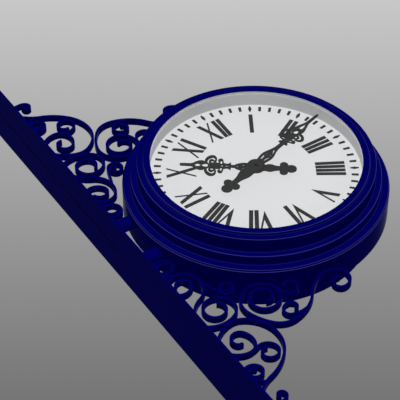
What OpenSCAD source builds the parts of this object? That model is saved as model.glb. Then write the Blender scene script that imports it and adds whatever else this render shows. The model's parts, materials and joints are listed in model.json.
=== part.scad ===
// Double sided street clock on a wrought bracket, in millimetres.
// X runs out from the wall, Y from the front dial to the rear dial, Z up.
// The origin is on the wall face of the plate, level with the clock's centre.

/* [Wall plate] */
// length of the plate beyond the root of the last curl, at each end
plate_overhang = 95; // [80:0.5:200]
// width of the wall plate
plate_width = 188; // [130:1:250]
// thickness of the wall plate
plate_thick = 6; // [5:0.5:12]
// diameter of each anchor hole
anchor_hole = 14; // [9:0.5:20]
// distance from a plate end to its anchor holes
anchor_edge = 35; // [25:1:60]
// distance between the two anchor holes at one end
anchor_gauge = 110; // [60:1:180]
// width and depth of the feed groove in the wall face
groove = 3; // [2:0.5:3.5]

/* [Arms] */
// outer diameter of the two arm tubes
arm_dia = 42.4; // [33.7:0.1:48.3]
// wall of the arm tubes
arm_wall = 3.2; // [2:0.1:4]
// height of each arm tube above or below the clock's centre
arm_height = 76; // [55:1:84]

/* [Scroll work] */
// width of the flat bar, along the clock's depth
bar_width = 20; // [12:1:40]
// thickness of the flat bar
bar_thick = 8; // [4:0.5:12]
// thickness of the lighter bar of welded branches and braces
branch_thick = 7.2; // [3:0.1:11]

/* [Drum] */
// width of the drum shell between the two bezels
drum_width = 85; // [70:1:140]
// sheet of the drum shell
drum_wall = 3; // [2:0.5:5]
// how far the shell stands out past the bezel's flange
drum_margin = 2.5; // [1.5:0.5:8]

/* [Bezel] */
// radius of the opening that shows the dial
sight_radius = 300; // [270:1:330]
// width of the lip round the opening
lip_width = 20.4; // [14:0.1:30]
// width of the second step
step2_width = 18.5; // [12:0.1:30]
// width of the third step
step3_width = 18.1; // [12:0.1:30]
// width of the flange that is screwed to the drum
flange_width = 21.5; // [18:0.1:30]
// height of the lip above the second step
lip_rise = 7.5; // [6:0.5:20]
// height of the second step above the dial face
step2_rise = 44.4; // [40:0.1:70]
// height of the dial face and the third step above the flange
step3_rise = 30.1; // [26:0.1:50]
// thickness of the flange
flange_thick = 5; // [4:0.5:8]
// wall of the bezel casting
bezel_wall = 4; // [3:0.5:5]

/* [Dial] */
// distance from the edge of the opening to the ring of minute marks
mark_inset = 19; // [15:0.5:25]
// distance from the ring of marks to the outer end of the numerals
numeral_inset = 26.7; // [20:0.1:35]
// length of the numerals, towards the centre
numeral_length = 84.3; // [60:0.1:95]
// width of the broad strokes
broad_stroke = 11.8; // [6:0.1:13]
// width of the hairline strokes
thin_stroke = 5.2; // [2:0.1:6]
// thickness of the applied numerals and marks
numeral_thick = 1; // [0.5:0.1:3]

/* [Hands] */
// angle of the minute hand, clockwise from twelve
minute_angle = 71.6; // [0:0.1:360]
// angle of the hour hand, clockwise from twelve
hour_angle = 306; // [0:0.1:360]
// thickness of both hands
hand_thick = 3; // [2:0.5:5]

/* [Movement] */
// distance between the centre arbor and the intermediate stud
wheel_centres = 30; // [27:1:38]
// diameter of the minute arbor
arbor_dia = 8; // [6:0.5:9]

/* [Hidden] */
$fn = 96;
eps_cut = 1;
// running clearance of shafts, per side
run_gap = 0.08;
// clearance between separate parts that don't run
seat_gap = 0.3;
// clearance between pressed or seated round parts
press_gap = 0.05;
groove_end = -10;
segment_step = 0.06;
segment_reach = 0.6;
branch_step = 0.6;
// clearance that a bar keeps from a neighbour that it would otherwise run into
touch_gap = 0.2;
// how far the root of a bar runs back into the plate before it is cut flush
root_reach = 9;
slot_length = 24;
drum_half = drum_width / 2;
lip_radius = sight_radius + lip_width;
step2_radius = lip_radius + step2_width;
step3_radius = step2_radius + step3_width;
flange_outer = step3_radius + flange_width;
drum_radius = flange_outer + drum_margin;
drum_inner = drum_radius - drum_wall;
drum_edge = 1.5;
flange_inner = step3_radius - 7;
cable_hole = 16;
flange_height = drum_half + flange_thick;
dial_height = flange_height + step3_rise;
step2_height = dial_height + step2_rise;
lip_height = step2_height + lip_rise;
seat_height = dial_height - bezel_wall;
// the scroll work is drawn round a drum of radius 381 whose centre is 459 from the wall,
// and keeps in step with the drum
work_scale = drum_radius / 381;
clock_x = 459 * work_scale;
// liner, glass and dial
liner_wall = 3.7;
liner_rebate = 1.8;
lip_inner = sight_radius + liner_wall + seat_gap;
liner_outer = sight_radius + liner_wall;
liner_inner = sight_radius + liner_rebate;
// the lip reaches over the liner's front edge as a thin skin
lip_skin = 1;
liner_front = lip_height - lip_skin - seat_gap;
rim_depth = 4;
glass_radius = liner_inner - seat_gap;
glass_thick = 4;
glass_top = liner_front - rim_depth;
seal_inner = sight_radius - 0.1;
seal_height = 3;
lip_round = 2.2;
step2_round = 2.4;
step3_round = 2.6;
flange_round = 2;
// fillet at the foot of each step
foot_round = 2;
dial_margin = 4.9;
dial_radius = step2_radius - bezel_wall - dial_margin;
carrier_inner = sight_radius - 4;
carrier_thick = 2.5;
screw_circle = step3_radius + 9;
screw_count = 8;
screw_dia = 5;
screw_head = 9.6;
screw_length = 14;
screw_sink = 2.4;
screw_socket = [3, 1.6];
// centre beam, lighting and terminal box
beam_height = 50;
beam_thick = 8;
led_outer = drum_inner - seat_gap;
led_band = 2.7;
led_inner = led_outer - led_band;
led_half = 12;
led_count = 28;
led_size = [2, 9, 9];
led_gap = 60;
box_size = [90, 60, 35];
box_place = [-270, -30];
box_wall = 3;
gland_hole = 12;
// numerals, marks and hands are drawn for an opening of radius 300 and keep in step with it
dial_scale = sight_radius / 300;
mark_radius = sight_radius - mark_inset;
numeral_out = mark_radius - numeral_inset;
numeral_in = numeral_out - numeral_length;
// the pointed foot of a V ends short of the straight strokes
apex_rise = 3.6;
hour_hub = 24.8;
minute_hub = 24.8;
// movement, measured back from the dial's face
case_half = 42;
case_bottom = -42;
case_top = wheel_centres + 22;
case_front = dial_height - 31.6;
case_wall = 3;
motor_radius = 28;
motor_rear = case_front - 30;
motor_ear = [72, 14, 3];
ear_hole = 4.2;
ear_place = 32.5;
arbor_rear = case_front - 22;
stud_dia = 6;
stud_collar = 10;
stud_end = case_front + 16.5;
centre_teeth = 12;
wheel_teeth = 36;
small_teeth = 10;
hour_teeth = 40;
fast_module = 2 * wheel_centres / (centre_teeth + wheel_teeth);
slow_module = 2 * wheel_centres / (small_teeth + hour_teeth);
addendum = 0.85;
dedendum = 1.2;
backlash = 0.3;
pressure = 20;
pinion_bottom = case_front + 2;
pinion_top = case_front + 8;
wheel_bottom = case_front + 2.5;
wheel_top = case_front + 7.5;
small_top = case_front + 15.5;
hour_bottom = case_front + 10;
hour_top = case_front + 14;
pipe_outer = arbor_dia + 10;
pipe_spigot = arbor_dia + 6;
dial_bore = pipe_outer + 8;
hour_hand_z = dial_height + 9.7;
pipe_end = hour_hand_z + hand_thick + 1;
minute_hand_z = hour_hand_z + hand_thick + 6.3;
thread_dia = arbor_dia - 2;
thread_end = minute_hand_z + hand_thick + 4.4;
nut_top = thread_end + 2;
nut_width = thread_dia + 4;
nut_taper = 1;

// scroll chains of the lower half: start point, heading, then arcs of radius and sweep,
// where a radius of 0 is a straight of that length
curl_a = [[6, -146.5], 34, [[0, 54.5], [26, -140], [31, -17], [24.5, -60], [20, -203], [17.5, -30]]];
loop_b = [[6, -231.8], 35, [[282, 11.3], [44, -40.5], [39, -70], [73.5, -38.5], [58.5, -53], [91, 29.5],
  [99.5, -36]]];
branch_t = [[120.6, -231.2], -71, [[0, 76.5], [21.3, 185], [18.5, 129.5], [12, 165]]];
brace_b = [[6, -156.5], -19.3, [[0, 76.2]]];
curl_c = [[6, -247.2], 10, [[75, -33.7], [36, 87], [21, 93], [23.5, 100]]];
scroll_d = [[6, -369], -23.3, [[328, -8.4], [80, 65.5], [43.5, 92], [50, 49.5], [38.5, 96], [31, 144.5],
  [25.5, 95]]];
scroll_e = [[451.7, -419.9], 152.7, [[20.4, 210.9], [35.7, 150.6], [63.1, 59.4], [171.3, 18.9],
  [144, -43.8], [66.1, -57.1], [162.2, -25.6], [61.3, -116.7], [60.5, -28.3], [46.4, -142.8], [42.3, -85.1],
  [35.5, -162.2], [20.8, -140]]];
branch_f = [[278.3, -357.3], -47, [[27.1, -35], [46, 29], [24.8, 104.5], [20.5, 153.5], [14, 55]]];
branch_g = [[316.2, -467.6], -159, [[82, -37.6], [19.3, -116.6], [30.5, -50.2], [15.8, -175]]];
scroll_h = [[6, -472.4], 20, [[97.4, 29.1], [104.6, -40.6], [48, -35.2], [97.5, -59.2], [108, -45.5],
  [169, -30.5], [102, 21.3], [0, 71]]];
brace_h = [[6, -593.5], 0, [[66, -43], [0, 29]]];
scroll_i = [[6, -485.2], -10, [[77, -35.7], [61.7, 42.1], [34.8, 77.3], [50, 53.3], [23.8, 151],
  [16.7, 95]]];
branch_k = [[104.5, -523.5], 3, [[31, 26.6], [29.3, -46.5], [34, -49.8], [25.1, -162.6], [18.9, -150]]];
curl_j = [[6, -580.1], 10, [[166, 16], [26.7, -86.6], [20.2, -151.1], [17.8, -54.4], [13.6, -155]]];
curl_m = [[6, -695], -12, [[0, 46.5], [90, 12], [24, 40], [15, 50], [12.5, 90], [8.5, 90], [0, 9]]];
last_root = -curl_m[0][1];
plate_half = last_root * work_scale + plate_overhang;
plate_length = 2 * plate_half;
// where the long scroll bears on the drum, seen from the drum's centre;
// there its centre line is drawn at 385.3
seat_angle = -93.76;
long_shift = (drum_radius + bar_thick / 2 + seat_gap - 385.3 * work_scale)
  * [cos(seat_angle), sin(seat_angle)];

function left_of(h) = [-sin(h), cos(h)];
function seg_end(p, h, s) = s[0] == 0 ? p + s[1] * [cos(h), sin(h)]
  : let (k = s[1] > 0 ? 1 : -1, c = p + k * s[0] * left_of(h)) c - k * s[0] * left_of(h + s[1]);
function seg_turn(h, s) = s[0] == 0 ? h : h + s[1];

// every second segment is a hair slimmer and reaches into its neighbours
module segment(p, h, s, t, w, reach) {
  k = s[1] > 0 ? 1 : -1;
  over = s[0] == 0 ? 0 : reach / s[0] * 180 / PI;
  if (s[0] == 0)
    translate([p[0], p[1], 0]) rotate([0, 0, h]) translate([-reach, -t / 2, -w / 2])
      cube([s[1] + 2 * reach, t, w]);
  else
    translate([p[0] - k * s[0] * sin(h), p[1] + k * s[0] * cos(h), 0])
      rotate([0, 0, (k > 0 ? h - 90 : h + 90 + s[1]) - over])
        rotate_extrude(angle = abs(s[1]) + 2 * over)
          translate([s[0] - t / 2, -w / 2]) square([t, w]);
}

module chain(p, h, segs, t, w, i = 0) {
  slim = i % 2 * segment_step;
  segment(p, h, segs[i], t - slim, w - slim, i % 2 * segment_reach);
  if (i < len(segs) - 1) chain(seg_end(p, h, segs[i]), seg_turn(h, segs[i]), segs, t, w, i + 1);
}

// a chain at the size that suits the drum, moved by a given step
function placed(c, by = [0, 0]) = [c[0] * work_scale + by, c[1],
  [for (s = c[2]) s[0] == 0 ? [0, s[1] * work_scale] : [s[0] * work_scale, s[1]]]];

// a straight stub that carries the root of a bar back to the plate
module root(c, t, w) {
  translate([c[0][0], c[0][1], 0]) rotate([0, 0, c[1]]) translate([-root_reach, -t / 2, -w / 2])
    cube([root_reach + segment_reach, t, w]);
}

module bar(c) { chain(c[0], c[1], c[2], bar_thick, bar_width); }
module branch(c) { chain(c[0], c[1], c[2], branch_thick, bar_width - branch_step); }

// cuts the bars off flush at the plate's outer face
module off_plate() {
  difference() {
    children();
    translate([-plate_width, -plate_length, -bar_width])
      cube([plate_width + plate_thick, 2 * plate_length, 2 * bar_width]);
  }
}

// puts lower half scroll work in place, or mirrors it to the upper half
module lower() { rotate([90, 0, 0]) off_plate() children(); }
module upper() { rotate([90, 0, 0]) mirror([0, 1, 0]) off_plate() children(); }

module rooted_bar(c) {
  root(c, bar_thick - segment_step, bar_width - segment_step);
  bar(c);
}
module rooted_branch(c) {
  root(c, branch_thick - segment_step, bar_width - branch_step - segment_step);
  branch(c);
}

// cuts away what would run into a neighbouring bar
module clear_of(c, t) {
  difference() {
    children();
    chain(c[0], c[1], c[2], t + 2 * touch_gap, 2 * bar_width);
  }
}
module clear_of_drum() {
  difference() {
    children();
    translate([clock_x, 0, -bar_width]) cylinder(r = drum_radius + touch_gap, h = 2 * bar_width);
  }
}

module small_curl() { clear_of(placed(brace_b), branch_thick) rooted_bar(placed(curl_a)); }
module loop_scroll() {
  rooted_bar(placed(loop_b));
  branch(placed(branch_t));
  rooted_branch(placed(brace_b));
}
module inner_curl() { rooted_bar(placed(curl_c)); }
module c_scroll() { rooted_bar(placed(scroll_d)); }
module long_scroll() {
  clear_of_drum() {
    bar(placed(scroll_e, long_shift));
    branch(placed(branch_f, long_shift));
    branch(placed(branch_g, long_shift));
  }
}
module great_scroll() {
  clear_of(placed(scroll_e, long_shift), bar_thick) clear_of(placed(scroll_d), bar_thick) {
    rooted_bar(placed(scroll_h));
    rooted_branch(placed(brace_h));
  }
}
module eye_scroll() {
  rooted_bar(placed(scroll_i));
  branch(placed(branch_k));
}
module foot_curl() { clear_of(placed(brace_h), branch_thick) rooted_bar(placed(curl_j)); }
module end_curl() { rooted_bar(placed(curl_m)); }

// dial side frames: x to the right, y up and z towards the viewer of that dial
module front_side() { translate([clock_x, 0, 0]) rotate([90, 0, 0]) children(); }
module rear_side() { translate([clock_x, 0, 0]) rotate([0, 0, 180]) rotate([90, 0, 0]) children(); }

module disc(r, z0, z1) { translate([0, 0, z0]) cylinder(r = r, h = z1 - z0); }
module hole(r, z0, z1) { translate([0, 0, z0 - eps_cut]) cylinder(r = r, h = z1 - z0 + 2 * eps_cut); }

function corner(c, r, n = 5) = [for (i = [0 : n]) c + r * [sin(90 * i / n), cos(90 * i / n)]];
function fillet(c, r, n = 4) = [for (i = [0 : n]) c + r * [1 - cos(90 * i / n), 1 - sin(90 * i / n)]];

module bezel_body() {
  difference() {
    rotate_extrude()
      polygon(concat([[sight_radius + seat_gap, lip_height]],
        corner([lip_radius - lip_round, lip_height - lip_round], lip_round),
        fillet([lip_radius, step2_height], foot_round),
        corner([step2_radius - step2_round, step2_height - step2_round], step2_round),
        fillet([step2_radius, dial_height], foot_round),
        corner([step3_radius - step3_round, dial_height - step3_round], step3_round),
        fillet([step3_radius, flange_height], foot_round),
        corner([flange_outer - flange_round, flange_height - flange_round], flange_round),
        [[flange_outer, drum_half], [step3_radius - bezel_wall, drum_half],
         [step3_radius - bezel_wall, seat_height], [step2_radius - bezel_wall, seat_height],
         [step2_radius - bezel_wall, step2_height - bezel_wall],
         [lip_radius - bezel_wall, step2_height - bezel_wall],
         [lip_radius - bezel_wall, lip_height - bezel_wall], [lip_inner, lip_height - bezel_wall],
         [lip_inner, lip_height - lip_skin], [sight_radius + seat_gap, lip_height - lip_skin]]));
    screw_holes(screw_dia + 2 * seat_gap, true);
  }
}

module screw_holes(d, sunk) {
  for (i = [0 : screw_count - 1])
    rotate([0, 0, (i + 0.5) * 360 / screw_count]) translate([screw_circle, 0, 0]) {
      translate([0, 0, drum_half - drum_wall - eps_cut])
        cylinder(d = d, h = drum_wall + flange_thick + 2 * eps_cut);
      if (sunk)
        translate([0, 0, flange_height - screw_sink]) cylinder(d1 = screw_dia + 2 * seat_gap,
          d2 = screw_head + 2 * seat_gap, h = screw_sink);
    }
}

module screw_set() {
  for (i = [0 : screw_count - 1])
    rotate([0, 0, (i + 0.5) * 360 / screw_count]) translate([screw_circle, 0, 0]) {
      difference() {
        union() {
          translate([0, 0, flange_height - screw_sink])
            cylinder(d1 = screw_dia, d2 = screw_head, h = screw_sink);
          translate([0, 0, flange_height - screw_length])
            cylinder(d = screw_dia, h = screw_length - screw_sink);
        }
        translate([0, 0, flange_height - screw_socket[1]])
          cylinder(d = screw_socket[0], h = screw_length, $fn = 6);
      }
    }
}

module liner_body() {
  rotate_extrude()
    polygon([[sight_radius, liner_front], [liner_outer, liner_front], [liner_outer, dial_height],
      [liner_inner, dial_height], [liner_inner, glass_top], [sight_radius, glass_top]]);
}

module glass_body() { disc(glass_radius, glass_top - glass_thick, glass_top); }

module seal_body() {
  difference() {
    disc(glass_radius, glass_top - glass_thick - seal_height, glass_top - glass_thick);
    hole(seal_inner, glass_top - glass_thick - seal_height, glass_top - glass_thick);
  }
}

module dial_body() {
  difference() {
    disc(dial_radius, seat_height, dial_height);
    hole(dial_bore / 2, seat_height, dial_height);
  }
}

module carrier_body() {
  difference() {
    disc(step3_radius - bezel_wall - seat_gap, seat_height - carrier_thick, seat_height);
    hole(carrier_inner, seat_height - carrier_thick, seat_height);
  }
}

// a stroke from the outer end of the numerals to the inner end
module stroke(a, b, w) {
  top = a * dial_scale;
  foot = b * dial_scale;
  half = w * dial_scale / 2;
  polygon([[top - half, numeral_out], [top + half, numeral_out], [foot + half, numeral_in],
    [foot - half, numeral_in]]);
}
module full(a, b) { stroke(a, b, broad_stroke); }
module hair(a, b) { stroke(a, b, thin_stroke); }
// a broad and a thin stroke that meet in a point; a and c are their outer ends, b is the point
module v_shape(a, b, c) {
  tall = numeral_out - numeral_in - apex_rise * dial_scale;
  half = [broad_stroke / 2, thin_stroke / 2];
  clear = c - a - half[0] - half[1];
  crotch = clear / (c - a + half[0] + half[1]);
  translate([0, numeral_out]) polygon([[(a - half[0]) * dial_scale, 0], [(a + half[0]) * dial_scale, 0],
    [(a + half[0] + crotch * (b - a + half[0])) * dial_scale, -crotch * tall],
    [(c - half[1]) * dial_scale, 0], [(c + half[1]) * dial_scale, 0], [b * dial_scale, -tall]]);
}

module numeral(h) {
  if (h == 1) full(0, 0);
  if (h == 2) { full(-8.2, -7.2); full(8.2, 7.2); }
  if (h == 3) { full(-16.8, -13.8); full(0, 0.6); full(16.8, 14.9); }
  if (h == 4) { full(-24.5, -21.9); full(-8.2, -7.3); full(8.2, 7.3); full(24.5, 21.9); }
  if (h == 5) v_shape(-12.8, 2, 20.3);
  if (h == 6) { v_shape(-20, -4.8, 13.1); full(22.6, 18.2); }
  if (h == 7) { v_shape(-27.4, -11.8, 2.6); full(13.4, 9.9); full(30, 24.5); }
  if (h == 8) { v_shape(-36.4, -18.6, -6.2); full(4.2, 2.6); full(20.2, 16.2); full(36.4, 30.2); }
  if (h == 9) { full(-26.8, -21.8); full(-6.4, 21.4); hair(25.4, -9.4); }
  if (h == 10) { full(-17.4, 17.2); hair(16.4, -18.8); }
  if (h == 11) { full(-28.8, 4.4); hair(5.6, -27.4); full(22.6, 19.4); }
  if (h == 12) { full(-34.6, -2.8); hair(-2.6, -36.4); full(14.9, 12.9); full(30.8, 26.3); }
}

module numeral_set() {
  for (h = [1 : 12])
    rotate([0, 0, -30 * h]) translate([0, 0, dial_height]) linear_extrude(numeral_thick) numeral(h);
}

module mark_set() {
  for (i = [0 : 59])
    rotate([0, 0, -6 * i]) translate([0, mark_radius, dial_height]) linear_extrude(numeral_thick)
      if (i % 5 == 0)
        polygon(dial_scale * [[-1.6, -12.6], [1.6, -12.6], [5.2, 0], [1.6, 12.6], [-1.6, 12.6], [-5.2, 0]]);
      else polygon(dial_scale * [[-3.9, -9.9], [3.9, -9.9], [4.3, 9.9], [-4.3, 9.9]]);
}

// outline polygons are mirrored about the hand's centre line
function both(pts) = concat(pts, [for (i = [len(pts) - 1 : -1 : 0]) [-pts[i][0], pts[i][1]]]);
module flat(pts, z0) { translate([0, 0, z0]) linear_extrude(hand_thick) polygon(dial_scale * pts); }
module pair() { children(); mirror([1, 0, 0]) children(); }
module eye(x, y, r, z0) {
  translate([x * dial_scale, y * dial_scale, z0]) cylinder(r = r * dial_scale, h = hand_thick, $fn = 48);
}
module pierce(x, y, r, z0) {
  translate([x * dial_scale, y * dial_scale, z0 - eps_cut])
    cylinder(r = r * dial_scale, h = hand_thick + 2 * eps_cut, $fn = 48);
}
module window(pts, z0) {
  translate([0, 0, z0 - eps_cut]) linear_extrude(hand_thick + 2 * eps_cut) polygon(dial_scale * pts);
}

// an outline with its corners cut twice, so that it runs round
function cut(p) = [for (i = [0 : len(p) - 1]) let (a = p[i], b = p[(i + 1) % len(p)])
  each [0.75 * a + 0.25 * b, 0.25 * a + 0.75 * b]];
// the flourish of both hands is drawn once, from its own foot, and stretched to each hand
function fitted(p, foot, stretch) = [for (q = cut(cut(p))) [q[0] * stretch[0], foot + q[1] * stretch[1]]];
small_leaf = [[6, 0], [13, 1], [20, 2], [26.4, 3.4], [30.4, 6.2], [31.6, 10], [30, 14.2], [26, 17.6],
  [21.5, 18.2], [17.4, 15], [12, 13.6], [6, 14]];
small_slit = [[8, 6.2], [13, 5.2], [19, 6], [23.4, 8.2], [20, 10.8], [13, 11], [8, 10]];
great_curl = [[9, 26], [17.3, 24], [21.5, 21.2], [29.5, 20.9], [37, 23], [43.6, 28], [45.2, 35],
  [43.2, 42.4], [38.4, 48], [32.4, 52.4], [26, 55.2], [20, 56.2], [14.3, 55.6], [6, 55.4], [3, 47], [3, 38]];
curl_gap = [[5.4, 41.4], [12, 44], [19.8, 44.2], [26.4, 40.6], [28, 34.8], [25.2, 30.4], [20.6, 27.2],
  [27.4, 25.8], [34.4, 28.8], [35.6, 35], [32, 40.6], [26.5, 46], [17.5, 48.8], [11, 47]];
curl_eye = [[12.4, 30.2], [16, 28.6], [19.6, 30.4], [20.2, 35], [18, 39], [13.6, 39.2], [12, 35]];
axis_eye = [[-3.8, 4.6], [0, 3.2], [3.8, 4.6], [3.8, 6.6], [0, 8], [-3.8, 6.6]];
axis_slot = [[-1, 45.4], [1, 45.4], [7, 47], [7.8, 54.6], [5, 58.6], [3.6, 63], [-3.6, 63], [-5, 58.6],
  [-7.8, 54.6], [-7, 47]];

module flourish(foot, stretch, z) {
  pair() {
    flat(fitted(small_leaf, foot, stretch), z);
    flat(fitted(great_curl, foot, stretch), z);
  }
}
module flourish_holes(foot, stretch, z) {
  pair() {
    window(fitted(small_slit, foot, stretch), z);
    window(fitted(curl_gap, foot, stretch), z);
    window(fitted(curl_eye, foot, stretch), z);
  }
  window(fitted(axis_eye, foot, stretch), z);
  window(fitted(axis_slot, foot, stretch), z);
}

module hour_hand_body() {
  z = hour_hand_z;
  foot = 91;
  stretch = [1, 1];
  difference() {
    union() {
      eye(0, 0, hour_hub, z);
      flat(both([[8.6, -84], [8.6, -66], [9.8, -58], [11.2, -52], [13.6, -48], [15.4, -43], [15.4, -34],
        [12.8, -28.5], [13.2, -22], [16, 0]]), z);
      eye(0, -100, 15.6, z);
      eye(0, -84, 12, z);
      pair() eye(15, -79, 11.9, z);
      flat(both([[14, 15], [16.6, 24], [16.8, 36], [14.4, 47], [9.8, 56.5], [5, 61.5], [5, 71.2],
        [14.6, 71.6], [14.7, 74.6], [10.2, 77.8], [9.7, 85], [11.6, 90], [12.4, 97], [12.4, 108],
        [13, 112], [13, 127], [9.4, 131], [6.4, 136], [10, 140], [14.4, 145.5], [18.4, 148.8], [20, 153],
        [20.2, 158], [19.4, 163], [16.4, 168], [14, 172.6], [10, 176.4], [7.6, 180], [5.4, 186],
        [5, 209], [4.1, 216.8]]), z);
      flourish(foot, stretch, z);
    }
    hole(pipe_spigot / 2 + press_gap, z, z + hand_thick);
    pair() window([[3.6, 29], [6.4, 28], [8, 36], [7, 44], [4.6, 45], [3.4, 36]], z);
    pierce(0, 53, 2.6, z);
    window(both([[0.6, 77.8], [2.4, 79.6], [2.4, 86], [0.6, 88]]), z);
    window(both([[0.8, 158], [3.4, 159.4], [6.2, 163.5], [6.6, 167.5], [4.6, 171.5], [0.8, 175.4]]), z);
    flourish_holes(foot, stretch, z);
  }
}

module minute_hand_body() {
  z = minute_hand_z;
  foot = 137.6;
  stretch = [0.86, 0.94];
  difference() {
    union() {
      eye(0, 0, minute_hub, z);
      flat(both([[8.3, -116], [8.3, -96], [8.8, -86], [10.8, -74], [13.6, -66.5], [15.6, -60], [17.6, -51],
        [18, -42], [17.6, -30], [17, 0]]), z);
      eye(0, -132.4, 15.8, z);
      eye(0, -115, 12, z);
      pair() eye(13.2, -110.6, 12.5, z);
      flat(both([[12.6, 18], [14.4, 26], [16.4, 36], [17.6, 45], [17.6, 53], [16.2, 61], [13.4, 70.5],
        [10.6, 78.5], [8.2, 87], [6.5, 96], [6, 108], [6.2, 122.8], [14.4, 123.4], [14.4, 128.4], [10, 132],
        [9.6, 137], [10.6, 141], [10.6, 152], [11.2, 158], [11.2, 172], [8, 176], [5.6, 181], [8.6, 185],
        [12.6, 189.5], [15.6, 193.5], [16.6, 199], [16.5, 206], [15, 213], [12, 222], [8.6, 232],
        [5.6, 241], [4.7, 249], [4.4, 270], [3.8, 291], [1.6, 296]]), z);
      flourish(foot, stretch, z);
    }
    hole(thread_dia / 2 + press_gap, z, z + hand_thick);
    pair() window([[4, 28.6], [7.2, 28.6], [9.4, 40], [10.4, 48], [8, 49.6], [5.6, 44], [4, 36]], z);
    pair() pierce(6.8, 58.6, 2.5, z);
    pair() window([[-0.3, 85], [2.6, 82.2], [5.2, 76], [7.4, 68.6], [6, 67], [4, 71], [2, 77],
      [-0.3, 80.6]], z);
    window(both([[0.8, 207.6], [3.6, 208.4], [5.5, 213], [4.4, 221], [0.6, 233.6]]), z);
    flourish_holes(foot, stretch, z);
  }
}

// involute tooth outline
function inv(a) = tan(a) * 180 / PI - a;
function tooth_half(r, rb, rp, n, slack) = 90 / n - slack / 2 / rp * 180 / PI + inv(pressure)
  - inv(acos(min(1, rb / max(r, rb))));
function polar(r, a) = [r * cos(a), r * sin(a)];
function gear_points(m, n, slack, phase) = let (
    rp = m * n / 2, rb = rp * cos(pressure), ra = rp + addendum * m, rf = rp - dedendum * m,
    rs = concat([rf], [for (i = [0 : 4]) max(rb, rf) + (ra - max(rb, rf)) * i / 4]))
  [for (k = [0 : n - 1]) let (c = phase + 360 * k / n)
    each concat([for (r = rs) polar(r, c - tooth_half(r, rb, rp, n, slack))],
      [for (i = [len(rs) - 1 : -1 : 0]) polar(rs[i], c + tooth_half(rs[i], rb, rp, n, slack))])];

module gear(m, n, phase, z0, z1) {
  translate([0, 0, z0]) linear_extrude(z1 - z0) polygon(gear_points(m, n, backlash, phase));
}

module case_body() {
  difference() {
    union() {
      difference() {
        translate([-case_half, case_bottom, beam_thick / 2])
          cube([2 * case_half, case_top - case_bottom, case_front - beam_thick / 2]);
        translate([-case_half + case_wall, case_bottom + case_wall, beam_thick / 2 - eps_cut])
          cube([2 * (case_half - case_wall), case_top - case_bottom - 2 * case_wall,
            case_front - case_wall - beam_thick / 2 + eps_cut]);
      }
      translate([0, wheel_centres, 0]) {
        disc(stud_dia / 2, case_front - eps_cut, stud_end);
        disc(stud_collar / 2, case_front - eps_cut, wheel_bottom - seat_gap);
      }
    }
    hole(arbor_dia / 2 + run_gap, case_front - case_wall, case_front);
  }
}

module motor_body() {
  difference() {
    union() {
      disc(motor_radius, motor_rear, case_front - case_wall);
      translate([-motor_ear[0] / 2, -motor_ear[1] / 2, case_front - case_wall - motor_ear[2]])
        cube(motor_ear);
    }
    hole(arbor_dia / 2 + run_gap, arbor_rear, case_front);
    pair() translate([ear_place, 0, 0]) hole(ear_hole / 2, motor_rear, case_front);
  }
}

module arbor_body() {
  disc(arbor_dia / 2, arbor_rear, minute_hand_z);
  disc(thread_dia / 2, minute_hand_z - eps_cut, thread_end);
  gear(fast_module, centre_teeth, 90, pinion_bottom, pinion_top);
}

module wheel_body() {
  translate([0, wheel_centres, 0]) difference() {
    union() {
      gear(fast_module, wheel_teeth, 90 + 180 / wheel_teeth, wheel_bottom, wheel_top);
      gear(slow_module, small_teeth, 270, wheel_top - eps_cut, small_top);
    }
    hole(stud_dia / 2 + run_gap, wheel_bottom, small_top);
  }
}

module hour_wheel_body() {
  difference() {
    union() {
      gear(slow_module, hour_teeth, 90 + 180 / hour_teeth, hour_bottom, hour_top);
      disc(pipe_outer / 2, hour_bottom, hour_hand_z);
      disc(pipe_spigot / 2, hour_bottom, pipe_end);
    }
    hole(arbor_dia / 2 + run_gap, hour_bottom, pipe_end);
  }
}

module nut_body() {
  z0 = minute_hand_z + hand_thick;
  difference() {
    union() {
      translate([0, 0, z0]) cylinder(d = nut_width / cos(30), h = nut_top - z0 - nut_taper, $fn = 6);
      translate([0, 0, nut_top - nut_taper - eps_cut])
        cylinder(d1 = nut_width, d2 = nut_width - 3 * nut_taper, h = nut_taper + eps_cut);
    }
    translate([0, 0, z0 - eps_cut])
      cylinder(r = thread_dia / 2 + press_gap, h = thread_end + seat_gap - z0 + eps_cut);
  }
}

module wall_plate() {
  color([0.03, 0.03, 0.3]) difference() {
    translate([0, -plate_width / 2, -plate_half]) cube([plate_thick, plate_width, plate_length]);
    for (y = [-1, 1], z = [-1, 1])
      translate([-eps_cut, y * anchor_gauge / 2, z * (plate_half - anchor_edge)]) rotate([0, 90, 0])
        cylinder(d = anchor_hole, h = plate_thick + 2 * eps_cut);
    translate([-eps_cut, -groove / 2, groove_end])
      cube([groove + eps_cut, groove, plate_half - groove_end + eps_cut]);
    translate([-eps_cut, -groove / 2, arm_height - slot_length / 2])
      cube([plate_thick + 2 * eps_cut, groove, slot_length]);
  }
}

module arm_tube(z) {
  color([0.03, 0.03, 0.3]) difference() {
    translate([plate_thick, 0, z]) rotate([0, 90, 0]) cylinder(d = arm_dia, h = clock_x / 2);
    translate([plate_thick - eps_cut, 0, z]) rotate([0, 90, 0])
      cylinder(d = arm_dia - 2 * arm_wall, h = clock_x / 2 + 2 * eps_cut);
    front_side() hole(drum_radius + seat_gap / 2, -drum_half, drum_half);
  }
}
module upper_arm_tube() { arm_tube(arm_height); }
module lower_arm_tube() { arm_tube(-arm_height); }

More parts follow.
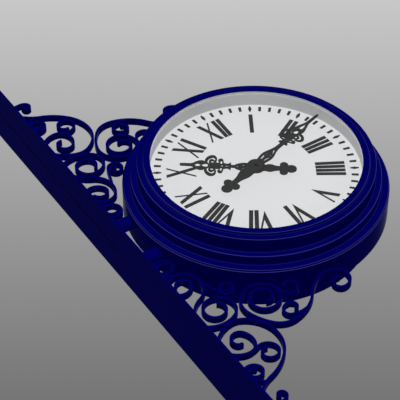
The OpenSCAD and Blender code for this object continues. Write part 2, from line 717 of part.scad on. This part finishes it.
module upper_small_curl() { color([0.03, 0.03, 0.3]) upper() small_curl(); }
module lower_small_curl() { color([0.03, 0.03, 0.3]) lower() small_curl(); }
module upper_loop_scroll() { color([0.03, 0.03, 0.3]) upper() loop_scroll(); }
module lower_loop_scroll() { color([0.03, 0.03, 0.3]) lower() loop_scroll(); }
module upper_inner_curl() { color([0.03, 0.03, 0.3]) upper() inner_curl(); }
module lower_inner_curl() { color([0.03, 0.03, 0.3]) lower() inner_curl(); }
module upper_c_scroll() { color([0.03, 0.03, 0.3]) upper() c_scroll(); }
module lower_c_scroll() { color([0.03, 0.03, 0.3]) lower() c_scroll(); }
module upper_long_scroll() { color([0.03, 0.03, 0.3]) upper() long_scroll(); }
module lower_long_scroll() { color([0.03, 0.03, 0.3]) lower() long_scroll(); }
module upper_great_scroll() { color([0.03, 0.03, 0.3]) upper() great_scroll(); }
module lower_great_scroll() { color([0.03, 0.03, 0.3]) lower() great_scroll(); }
module upper_eye_scroll() { color([0.03, 0.03, 0.3]) upper() eye_scroll(); }
module lower_eye_scroll() { color([0.03, 0.03, 0.3]) lower() eye_scroll(); }
module upper_foot_curl() { color([0.03, 0.03, 0.3]) upper() foot_curl(); }
module lower_foot_curl() { color([0.03, 0.03, 0.3]) lower() foot_curl(); }
module upper_end_curl() { color([0.03, 0.03, 0.3]) upper() end_curl(); }
module lower_end_curl() { color([0.03, 0.03, 0.3]) lower() end_curl(); }

module drum_shell() {
  color([0.03, 0.03, 0.3]) front_side() difference() {
    rotate_extrude()
      polygon([[flange_inner, -drum_half], [drum_radius - drum_edge, -drum_half],
        [drum_radius, -drum_half + drum_edge], [drum_radius, drum_half - drum_edge],
        [drum_radius - drum_edge, drum_half], [flange_inner, drum_half],
        [flange_inner, drum_half - drum_wall], [drum_inner, drum_half - drum_wall],
        [drum_inner, -drum_half + drum_wall],
        [flange_inner, -drum_half + drum_wall]]);
    screw_holes(screw_dia + 2 * press_gap, false);
    rotate([0, 180, 0]) screw_holes(screw_dia + 2 * press_gap, false);
    translate([0, arm_height, 0]) rotate([0, -90, 0]) cylinder(d = cable_hole, h = drum_radius + eps_cut);
  }
}

module centre_beam() {
  color([0.55, 0.56, 0.58]) front_side() intersection() {
    translate([-drum_radius, -beam_height / 2, -beam_thick / 2])
      cube([2 * drum_radius, beam_height, beam_thick]);
    disc(drum_inner - seat_gap, -beam_thick, beam_thick);
  }
}

module led_ring() {
  color([0.9, 0.9, 0.86]) front_side() difference() {
    union() {
      difference() {
        disc(led_outer, -led_half, led_half);
        hole(led_inner, -led_half, led_half);
      }
      for (i = [0 : led_count - 1])
        rotate([0, 0, (i + 0.5) * 360 / led_count])
          translate([led_inner - led_size[0], -led_size[1] / 2, -led_size[2] / 2])
            cube([led_size[0] + 1, led_size[1], led_size[2]]);
    }
    translate([-drum_radius, -led_gap / 2, -2 * led_half]) cube([2 * drum_radius, led_gap, 4 * led_half]);
  }
}

module terminal_box() {
  color([0.75, 0.76, 0.76]) front_side() difference() {
    translate([box_place[0], box_place[1], beam_thick / 2]) cube(box_size);
    translate([box_place[0] + box_wall, box_place[1] + box_wall, beam_thick / 2 + box_wall])
      cube([box_size[0] - 2 * box_wall, box_size[1] - 2 * box_wall, box_size[2]]);
    translate([box_place[0] - eps_cut, 0, beam_thick / 2 + box_size[2] / 2]) rotate([0, 90, 0])
      cylinder(d = gland_hole, h = box_wall + 2 * eps_cut);
  }
}

module bezel_screws() {
  color([0.03, 0.03, 0.3]) {
    front_side() screw_set();
    rear_side() screw_set();
  }
}

module front_bezel() { color([0.03, 0.03, 0.3]) front_side() bezel_body(); }
module rear_bezel() { color([0.03, 0.03, 0.3]) rear_side() bezel_body(); }
module front_liner() { color([0.9, 0.9, 0.9]) front_side() liner_body(); }
module rear_liner() { color([0.9, 0.9, 0.9]) rear_side() liner_body(); }
module front_glass() { color([0.8, 0.85, 0.88, 0.3]) front_side() glass_body(); }
module rear_glass() { color([0.8, 0.85, 0.88, 0.3]) rear_side() glass_body(); }
module front_glass_seal() { color([0.85, 0.85, 0.85]) front_side() seal_body(); }
module rear_glass_seal() { color([0.85, 0.85, 0.85]) rear_side() seal_body(); }
module front_dial() { color([0.93, 0.93, 0.93]) front_side() dial_body(); }
module rear_dial() { color([0.93, 0.93, 0.93]) rear_side() dial_body(); }
module front_carrier() { color([0.7, 0.71, 0.72]) front_side() carrier_body(); }
module rear_carrier() { color([0.7, 0.71, 0.72]) rear_side() carrier_body(); }
module front_numerals() { color([0.2, 0.2, 0.21]) front_side() numeral_set(); }
module rear_numerals() { color([0.2, 0.2, 0.21]) rear_side() numeral_set(); }
module front_minute_marks() { color([0.2, 0.2, 0.21]) front_side() mark_set(); }
module rear_minute_marks() { color([0.2, 0.2, 0.21]) rear_side() mark_set(); }
module front_movement_case() { color([0.6, 0.61, 0.62]) front_side() case_body(); }
module rear_movement_case() { color([0.6, 0.61, 0.62]) rear_side() case_body(); }
module front_motor() { color([0.5, 0.5, 0.52]) front_side() motor_body(); }
module rear_motor() { color([0.5, 0.5, 0.52]) rear_side() motor_body(); }
module front_minute_arbor() { color([0.7, 0.7, 0.68]) front_side() arbor_body(); }
module rear_minute_arbor() { color([0.7, 0.7, 0.68]) rear_side() arbor_body(); }
module front_intermediate_wheel() { color([0.8, 0.65, 0.3]) front_side() wheel_body(); }
module rear_intermediate_wheel() { color([0.8, 0.65, 0.3]) rear_side() wheel_body(); }
module front_hour_wheel() { color([0.8, 0.65, 0.3]) front_side() hour_wheel_body(); }
module rear_hour_wheel() { color([0.8, 0.65, 0.3]) rear_side() hour_wheel_body(); }
module front_hour_hand() {
  color([0.22, 0.22, 0.23]) front_side() rotate([0, 0, -hour_angle]) hour_hand_body();
}
module rear_hour_hand() {
  color([0.22, 0.22, 0.23]) rear_side() rotate([0, 0, -hour_angle]) hour_hand_body();
}
module front_minute_hand() {
  color([0.22, 0.22, 0.23]) front_side() rotate([0, 0, -minute_angle]) minute_hand_body();
}
module rear_minute_hand() {
  color([0.22, 0.22, 0.23]) rear_side() rotate([0, 0, -minute_angle]) minute_hand_body();
}
module front_hand_nut() { color([0.22, 0.22, 0.23]) front_side() nut_body(); }
module rear_hand_nut() { color([0.22, 0.22, 0.23]) rear_side() nut_body(); }

wall_plate();
upper_arm_tube();
lower_arm_tube();
upper_small_curl();
lower_small_curl();
upper_loop_scroll();
lower_loop_scroll();
upper_inner_curl();
lower_inner_curl();
upper_c_scroll();
lower_c_scroll();
upper_long_scroll();
lower_long_scroll();
upper_great_scroll();
lower_great_scroll();
upper_eye_scroll();
lower_eye_scroll();
upper_foot_curl();
lower_foot_curl();
upper_end_curl();
lower_end_curl();
drum_shell();
centre_beam();
led_ring();
terminal_box();
bezel_screws();
front_bezel();
rear_bezel();
front_liner();
rear_liner();
front_glass();
rear_glass();
front_glass_seal();
rear_glass_seal();
front_dial();
rear_dial();
front_carrier();
rear_carrier();
front_numerals();
rear_numerals();
front_minute_marks();
rear_minute_marks();
front_movement_case();
rear_movement_case();
front_motor();
rear_motor();
front_minute_arbor();
rear_minute_arbor();
front_intermediate_wheel();
rear_intermediate_wheel();
front_hour_wheel();
rear_hour_wheel();
front_hour_hand();
rear_hour_hand();
front_minute_hand();
rear_minute_hand();
front_hand_nut();
rear_hand_nut();
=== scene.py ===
"""Finish, light and camera for the double sided street clock."""
import json
import math

import bpy
from mathutils import Matrix, Vector


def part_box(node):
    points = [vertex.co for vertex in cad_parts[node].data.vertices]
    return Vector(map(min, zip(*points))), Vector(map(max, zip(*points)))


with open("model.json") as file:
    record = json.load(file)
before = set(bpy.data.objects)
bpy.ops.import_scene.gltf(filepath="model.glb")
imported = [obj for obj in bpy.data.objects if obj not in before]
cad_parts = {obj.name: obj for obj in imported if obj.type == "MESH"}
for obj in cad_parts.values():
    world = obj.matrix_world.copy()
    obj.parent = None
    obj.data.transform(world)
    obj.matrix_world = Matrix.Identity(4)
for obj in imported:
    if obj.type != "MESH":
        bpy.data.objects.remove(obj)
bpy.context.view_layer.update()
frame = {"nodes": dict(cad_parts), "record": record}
scene = bpy.context.scene
nodes = frame["nodes"]

# the photograph's camera, in the frame of the clock
CAMERA_PLACE = Vector((-1.5442, -3.0542, -2.8739))
CAMERA_RIGHT = Vector((0.8454, 0.0, -0.5340))
CAMERA_UP = Vector((0.3534, -0.7497, 0.5594))
FOCAL_LENGTH = 145.6
SENSOR_WIDTH = 36.0
CLIP_START = 0.05
CLIP_END = 200.0

# the grey backdrop along the picture's upward direction, as display values from 0 to 1
BACKDROP_MIDDLE = 158.5 / 255
BACKDROP_SLOPE = 336.2 / 255
BACKDROP_DARKEST = 112 / 255
BACKDROP_LIGHTEST = 205 / 255

# the display's curve, which turns those values into light
CURVE_OFFSET = 0.055
CURVE_POWER = 2.4

# the even light, the suns on the dials and round the clock, and each sun's width in degrees
AMBIENT = 0.12
KEY_STRENGTH = 2.75
SIDE_STRENGTH = 0.41
SIDE_COUNT = 6
SUN_WIDTH = 12.0

# how far the floor lies under the clock's centre, its side, and where it starts and ends to fade
FLOOR_DROP = 4.4
FLOOR_SIZE = 60.0
FADE_START = 9.0
FADE_END = 28.0

# plain colours, as shares of red, green and blue light
NAVY = (0.0003, 0.0003, 0.1)
# a painted highlight, laid on the rounded edges of the bezels and the drum
HIGHLIGHT_BLUE = (0.039, 0.039, 0.205)
# painted shade, laid inside the plate's feed groove
GROOVE_SHADE = (0.001, 0.001, 0.003)
LINER = (0.53, 0.533, 0.537)
DIAL = (0.728, 0.728, 0.738)
DARK_GREY = (0.034, 0.034, 0.0345)
PANE = (0.985, 0.99, 0.99)
PANE_SHINE = (1.0, 1.0, 1.0)

# the darkest and the lightest that these wander between
RUBBER = ((0.5, 0.5, 0.5), (0.6, 0.6, 0.6))
ALUMINIUM = ((0.56, 0.57, 0.58), (0.7, 0.71, 0.72))
STEEL = ((0.42, 0.42, 0.43), (0.55, 0.55, 0.56))
BRASS = ((0.62, 0.46, 0.18), (0.8, 0.62, 0.28))
LAMP_BOARD = ((0.78, 0.78, 0.74), (0.86, 0.86, 0.82))
BOX_PLASTIC = ((0.5, 0.51, 0.51), (0.58, 0.59, 0.59))
FLOOR_GREY = ((0.66, 0.66, 0.66), (0.7, 0.7, 0.7))

# lower than solid glass has, because the photograph's panes mirror almost nothing
PANE_IOR = 1.15

# painted shade: the dial darkens from one radius to the other, slowly at first, down to this share of
# its colour
DIAL_CLEAR = 0.15
DIAL_RIM = 0.30
RIM_CURVE = 2.0
RIM_SHADE = 0.87

# painted highlight: how squarely a face looks along the drum's axis where the highlight comes in, and
# where the plain paint is full again
HIGHLIGHT_FROM = (0.5, 0.8)
HIGHLIGHT_TO = (0.88, 0.995)

# the painted highlight on the edges fades out between these heights over the clock's centre
HIGHLIGHT_BELOW = 0.08
PLAIN_ABOVE = 0.2

# the rounded feet of the bezel's steps, as distances from the clock's middle plane,
# their height, and the share of the painted highlight that is kept there
STEP_FEET = (0.0475, 0.0776, 0.122)
FOOT_ROUND = 0.003
FOOT_SHARE = 0.3

# the ring of countersunk screws in the bezel's flange
SCREW_CIRCLE = 0.366
SCREW_REACH = 0.0055

# painted shade: the feed groove in the plate's wall face is painted dark inside these limits
GROOVE_HALF = 0.0028
GROOVE_DEEPEST = 0.0058
GROOVE_FOOT = -0.012


def scaled(colour, factor):
    return tuple(part * factor for part in colour)


class Graph:
    """A node tree, with the helpers that the finishes and the studio share."""

    def __init__(self, tree):
        self.tree = tree

    def feed(self, socket, value):
        """Give a socket a link, an opaque colour, a vector or a number."""
        if isinstance(value, bpy.types.NodeSocket):
            self.tree.links.new(value, socket)
        elif socket.type == "RGBA":
            socket.default_value = (*value, 1.0)
        else:
            socket.default_value = value

    def node(self, kind, inputs=(), **settings):
        made = self.tree.nodes.new("ShaderNode" + kind)
        for name, value in settings.items():
            setattr(made, name, value)
        for name, value in dict(inputs).items():
            self.feed(made.inputs[name], value)
        return made

    def maths(self, operation, *values):
        return self.node("Math", enumerate(values), operation=operation).outputs[0]

    def seen(self):
        """One for a ray of the camera, of a reflection or through glass, zero for light on its way."""
        path = self.node("LightPath").outputs
        mirrored = self.maths("MAXIMUM", path["Is Glossy Ray"], path["Is Transmission Ray"])
        return self.maths("MAXIMUM", path["Is Camera Ray"], mirrored)


class Shade(Graph):
    """A new material."""

    def __init__(self, name):
        self.material = bpy.data.materials.new(name)
        self.material.use_nodes = True
        super().__init__(self.material.node_tree)
        self.surface = self.tree.nodes["Principled BSDF"]
        self.place = self.node("TexCoord").outputs["Object"]

    def set(self, **values):
        """Feed the surface's sockets, whose names are written with underscores."""
        for name, value in values.items():
            self.feed(self.surface.inputs[name.replace("_", " ")], value)

    def bump(self, height, strength, distance):
        made = self.node("Bump", {"Height": height, "Strength": strength, "Distance": distance})
        self.set(Normal=made.outputs[0])

    def lay(self, share, under, over):
        """Show the shader over, laid on the shader under by share."""
        mix = self.node("MixShader", {0: share, 1: under.outputs[0], 2: over.outputs[0]})
        self.feed(self.tree.nodes["Material Output"].inputs["Surface"], mix.outputs[0])

    def noise(self, scale, detail=3.0, roughness=0.5, stretch=None):
        place = self.place
        if stretch:
            place = self.node("Mapping", {"Vector": place, "Scale": stretch}).outputs[0]
        settings = {"Vector": place, "Scale": scale, "Detail": detail, "Roughness": roughness}
        return self.node("TexNoise", settings).outputs["Fac"]

    def spread(self, source, low, high, start=0.3, end=0.7):
        """Source between start and end, mapped to low and high."""
        settings = {"Value": source, "From Min": start, "From Max": end, "To Min": low, "To Max": high}
        return self.node("MapRange", settings, clamp=True).outputs[0]

    def mixed(self, share, under, over):
        """The colour over laid on the colour under by share."""
        settings = {"Factor": share, "A": under, "B": over}
        return self.node("Mix", settings, data_type="RGBA").outputs["Result"]

    def haze(self, scale, least, most, **grain):
        """A number that wanders between two values over the surface."""
        return self.spread(self.noise(scale, **grain), least, most)

    def drift(self, colour, scale, least, most, **grain):
        """A colour that wanders between two shares of itself."""
        share = self.haze(scale, 0.0, 1.0, **grain)
        return self.mixed(share, scaled(colour, least), scaled(colour, most))

    def part(self, axis, vector=None):
        """The part along X, Y or Z of a vector, or else of the place."""
        return self.node("SeparateXYZ", {"Vector": vector or self.place}).outputs[axis]

    def length(self, vector):
        return self.node("VectorMath", {0: vector}, operation="LENGTH").outputs["Value"]

    def reach(self, round_node):
        """Distance from the axis of a round node, which lies at the height of the clock's centre."""
        low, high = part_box(round_node)
        across = self.maths("SUBTRACT", self.part("X"), (low[0] + high[0]) / 2)
        return self.length(self.node("CombineXYZ", {"X": across, "Z": self.part("Z")}).outputs[0])

    def front(self):
        """One on the front of a face, zero on its back."""
        return self.maths("SUBTRACT", 1.0, self.node("NewGeometry").outputs["Backfacing"])


def painted(shade, share=None, over=None):
    """Deep blue paint over iron: slow drifts of shade, orange peel and a faint haze.

    The colour over lies on it by share.
    """
    haze = shade.haze(scale=38.0, least=0.16, most=0.24, detail=5.0, roughness=0.6)
    colour = shade.drift(NAVY, scale=6.0, least=0.96, most=1.04)
    if share is not None:
        colour = shade.mixed(share, colour, over)
    shade.set(Base_Color=colour, Roughness=haze, Specular_IOR_Level=0.003, Specular_Tint=(0.3, 0.3, 1.0))
    shade.bump(shade.noise(scale=700.0, detail=2.0), strength=0.02, distance=0.0004)
    return shade.material


def navy_paint():
    """The plain paint of the scrolls, the arms and the screws."""
    return painted(Shade("navy_paint"))


def bezel_paint_highlit():
    """The same paint, with a painted highlight of lighter blue on the steps' rounded edges up to a
    little above the centre, kept off the screws.
    """
    shade = Shade("bezel_paint_highlit")
    # painted highlight: lighter blue where a face leans between front and side, only low down, weaker in
    # the steps' feet, none round the screws
    lean = shade.maths("ABSOLUTE", shade.part("Y", shade.node("TexCoord").outputs["Normal"]))
    rise = shade.spread(lean, 0.0, 1.0, *HIGHLIGHT_FROM)
    fall = shade.spread(lean, 1.0, 0.0, *HIGHLIGHT_TO)
    low_down = shade.spread(shade.part("Z"), 1.0, 0.0, HIGHLIGHT_BELOW, PLAIN_ABOVE)
    highlight = shade.maths("MULTIPLY", shade.maths("MULTIPLY", rise, fall), low_down)
    from_middle = shade.maths("ABSOLUTE", shade.part("Y"))
    half = FOOT_ROUND / 2
    for foot in STEP_FEET:
        inside = shade.maths("COMPARE", from_middle, foot + half, half)
        highlight = shade.maths("MULTIPLY", highlight, shade.spread(inside, 1.0, FOOT_SHARE, 0.0, 1.0))
    screws = shade.maths("COMPARE", shade.reach("front_bezel"), SCREW_CIRCLE, SCREW_REACH)
    highlight = shade.maths("MULTIPLY", highlight, shade.maths("SUBTRACT", 1.0, screws))
    return painted(shade, highlight, HIGHLIGHT_BLUE)


def plate_paint():
    """The same paint on the plate, with painted shade inside the feed groove of its wall face."""
    shade = Shade("plate_paint")
    shallow = shade.maths("LESS_THAN", shade.part("X"), GROOVE_DEEPEST)
    middle = shade.maths("LESS_THAN", shade.maths("ABSOLUTE", shade.part("Y")), GROOVE_HALF)
    above = shade.maths("GREATER_THAN", shade.part("Z"), GROOVE_FOOT)
    share = shade.maths("MULTIPLY", shade.maths("MULTIPLY", shallow, middle), above)
    # painted shade inside the groove
    return painted(shade, share, GROOVE_SHADE)


def liner_white():
    """Off-white sheet round the opening, with the faint texture of the roller."""
    shade = Shade("liner_white")
    colour = shade.drift(LINER, scale=9.0, least=0.985, most=1.01)
    haze = shade.haze(scale=60.0, least=0.5, most=0.62)
    shade.set(Base_Color=colour, Roughness=haze, Specular_IOR_Level=0.05)
    shade.bump(shade.noise(scale=500.0, detail=2.0), strength=0.03, distance=0.0003)
    return shade.material


def opal_dial():
    """Milky sheet, with painted shade that makes it a little darker towards its rim."""
    shade = Shade("opal_dial")
    # painted shade: darker towards the rim, against the light that the liner throws back onto the dial
    rim = shade.spread(shade.reach("front_dial"), 0.0, 1.0, DIAL_CLEAR, DIAL_RIM)
    rim = shade.maths("POWER", rim, RIM_CURVE)
    cloud = shade.drift(DIAL, scale=2.2, least=0.985, most=1.01, detail=2.0)
    colour = shade.mixed(rim, cloud, scaled(DIAL, RIM_SHADE))
    shade.set(Base_Color=colour, Roughness=0.5, Specular_IOR_Level=0.05)
    shade.bump(shade.noise(scale=260.0, detail=2.0), strength=0.02, distance=0.0003)
    return shade.material


def dark_grey():
    """Matt stove enamel of the hands and numerals."""
    shade = Shade("dark_grey")
    colour = shade.drift(DARK_GREY, scale=30.0, least=0.95, most=1.06)
    haze = shade.haze(scale=120.0, least=0.55, most=0.68)
    shade.set(Base_Color=colour, Roughness=haze, Specular_IOR_Level=0.02)
    shade.bump(shade.noise(scale=1500.0, detail=2.0), strength=0.06, distance=0.0002)
    return shade.material


def clear_glass():
    """Thin clear pane: see-through, with a reflection that grows at a slant."""
    shade = Shade("clear_glass")
    clear = shade.node("BsdfTransparent", {"Color": PANE})
    shine = shade.node("BsdfGlossy", {"Color": PANE_SHINE, "Roughness": 0.03})
    slant = shade.node("Fresnel", {"IOR": PANE_IOR}).outputs[0]
    shade.lay(shade.maths("MULTIPLY", slant, shade.front()), clear, shine)
    return shade.material


def seal_rubber():
    """Pale rubber with a dull skin."""
    shade = Shade("seal_rubber")
    shade.set(Base_Color=shade.mixed(shade.noise(scale=80.0), *RUBBER), Roughness=0.75)
    shade.bump(shade.noise(scale=900.0), strength=0.1, distance=0.0003)
    return shade.material


def bare_metal(shade, grain, colours, smoothest, roughest):
    """Metal whose colour and gloss follow its grain."""
    haze = shade.spread(grain, smoothest, roughest)
    shade.set(Base_Color=shade.mixed(grain, *colours), Metallic=1.0, Roughness=haze)
    return shade.material


def bare_aluminium():
    """Cast metal, with a grain that runs level."""
    shade = Shade("bare_aluminium")
    grain = shade.noise(scale=40.0, detail=4.0, roughness=0.6, stretch=(1.0, 1.0, 30.0))
    shade.bump(grain, strength=0.05, distance=0.0002)
    return bare_metal(shade, grain, ALUMINIUM, smoothest=0.32, roughest=0.5)


def motor_steel():
    """Drawn steel, with a fine grain that runs along the motor."""
    shade = Shade("motor_steel")
    grain = shade.noise(scale=60.0, detail=4.0, roughness=0.6, stretch=(20.0, 1.0, 1.0))
    return bare_metal(shade, grain, STEEL, smoothest=0.28, roughest=0.42)


def gear_brass():
    """Cut brass of the wheels."""
    shade = Shade("gear_brass")
    grain = shade.noise(scale=90.0, detail=4.0, roughness=0.6)
    return bare_metal(shade, grain, BRASS, smoothest=0.22, roughest=0.36)


def led_white():
    """White board of the lamps."""
    shade = Shade("led_white")
    shade.set(Base_Color=shade.mixed(shade.noise(scale=120.0), *LAMP_BOARD), Roughness=0.6)
    return shade.material


def box_grey():
    """Moulded grey plastic of the terminal box."""
    shade = Shade("box_grey")
    shade.set(Base_Color=shade.mixed(shade.noise(scale=60.0), *BOX_PLASTIC), Roughness=0.55)
    shade.bump(shade.noise(scale=800.0), strength=0.08, distance=0.0003)
    return shade.material


# each finish goes by the name of its function
FINISHES = {finish.__name__: finish() for finish in (
    navy_paint, bezel_paint_highlit, plate_paint, liner_white, opal_dial, dark_grey, clear_glass,
    seal_rubber, bare_aluminium, motor_steel, gear_brass, led_white, box_grey)}

# the solids whose finish isn't the one of their slot
OWN_FINISH = {"front_bezel": "bezel_paint_highlit", "rear_bezel": "bezel_paint_highlit", "drum_shell": "bezel_paint_highlit",
              "wall_plate": "plate_paint",
              "front_minute_arbor": "dark_grey", "rear_minute_arbor": "dark_grey"}


def dress_nodes():
    """Every solid gets its own finish, or else the one of its slot."""
    for part in frame["record"]["subparts"]:
        finish = OWN_FINISH.get(part["node"], part["material_slot"])
        materials = nodes[part["node"]].data.materials
        materials.clear()
        materials.append(FINISHES[finish])


def make_camera():
    data = bpy.data.cameras.new("camera")
    data.lens = FOCAL_LENGTH
    data.sensor_width = SENSOR_WIDTH
    data.clip_start = CLIP_START
    data.clip_end = CLIP_END
    camera = bpy.data.objects.new("camera", data)
    back = CAMERA_RIGHT.cross(CAMERA_UP)
    turn = Matrix((CAMERA_RIGHT, CAMERA_UP, back)).transposed().to_4x4()
    camera.matrix_world = Matrix.Translation(CAMERA_PLACE) @ turn
    scene.collection.objects.link(camera)
    scene.camera = camera


def make_sun(name, from_way, strength):
    """A sun that shines from the given way.

    The photograph has no cast shadows and no glare, so gloss mirrors the studio alone.
    """
    data = bpy.data.lights.new(name, "SUN")
    data.energy = strength
    data.angle = math.radians(SUN_WIDTH)
    data.use_shadow = False
    sun = bpy.data.objects.new(name, data)
    sun.rotation_mode = "QUATERNION"
    sun.rotation_quaternion = Vector(from_way).to_track_quat("Z", "Y")
    sun.visible_glossy = False
    scene.collection.objects.link(sun)


def make_lamps():
    """A key square to each dial and an even light on all sides."""
    make_sun("front_key", (0.0, -1.0, 0.0), KEY_STRENGTH)
    make_sun("rear_key", (0.0, 1.0, 0.0), KEY_STRENGTH)
    for number in range(SIDE_COUNT):
        angle = 2 * math.pi * number / SIDE_COUNT
        make_sun(f"side_{number}", (math.cos(angle), 0.0, math.sin(angle)), SIDE_STRENGTH)


def make_world():
    """A grey studio that grows lighter along the picture's upward direction, and an even light."""
    world = bpy.data.worlds.new("studio")
    world.use_nodes = True
    scene.world = world
    graph = Graph(world.node_tree)
    way = graph.node("TexCoord").outputs["Generated"]
    upward = graph.node("VectorMath", {0: way, 1: CAMERA_UP}, operation="DOT_PRODUCT").outputs["Value"]
    shown = graph.maths("ADD", graph.maths("MULTIPLY", upward, BACKDROP_SLOPE), BACKDROP_MIDDLE)
    shown = graph.maths("MAXIMUM", graph.maths("MINIMUM", shown, BACKDROP_LIGHTEST), BACKDROP_DARKEST)
    light = graph.maths("DIVIDE", graph.maths("ADD", shown, CURVE_OFFSET), 1.0 + CURVE_OFFSET)
    light = graph.maths("POWER", light, CURVE_POWER)
    level = graph.node("Mix", {"Factor": graph.seen(), "A": AMBIENT, "B": light})
    background = graph.tree.nodes["Background"]
    graph.feed(background.inputs["Color"], (1.0, 1.0, 1.0))
    graph.feed(background.inputs["Strength"], level.outputs["Result"])


def make_floor():
    """A plain pale floor under the clock, seen from above only, that fades into the studio."""
    bpy.ops.mesh.primitive_plane_add(size=FLOOR_SIZE, location=(0.0, 0.0, -FLOOR_DROP))
    floor = bpy.context.object
    floor.name = "floor"
    shade = Shade("floor_grey")
    shade.set(Base_Color=shade.mixed(shade.noise(scale=0.4), *FLOOR_GREY), Roughness=0.8)
    near = shade.spread(shade.length(shade.place), 1.0, 0.0, FADE_START, FADE_END)
    shown = shade.maths("MULTIPLY", shade.maths("MULTIPLY", shade.seen(), shade.front()), near)
    shade.lay(shown, shade.node("BsdfTransparent"), shade.surface)
    floor.data.materials.append(shade.material)


dress_nodes()
make_camera()
make_world()
make_floor()
make_lamps()
scene.view_settings.view_transform = "Standard"
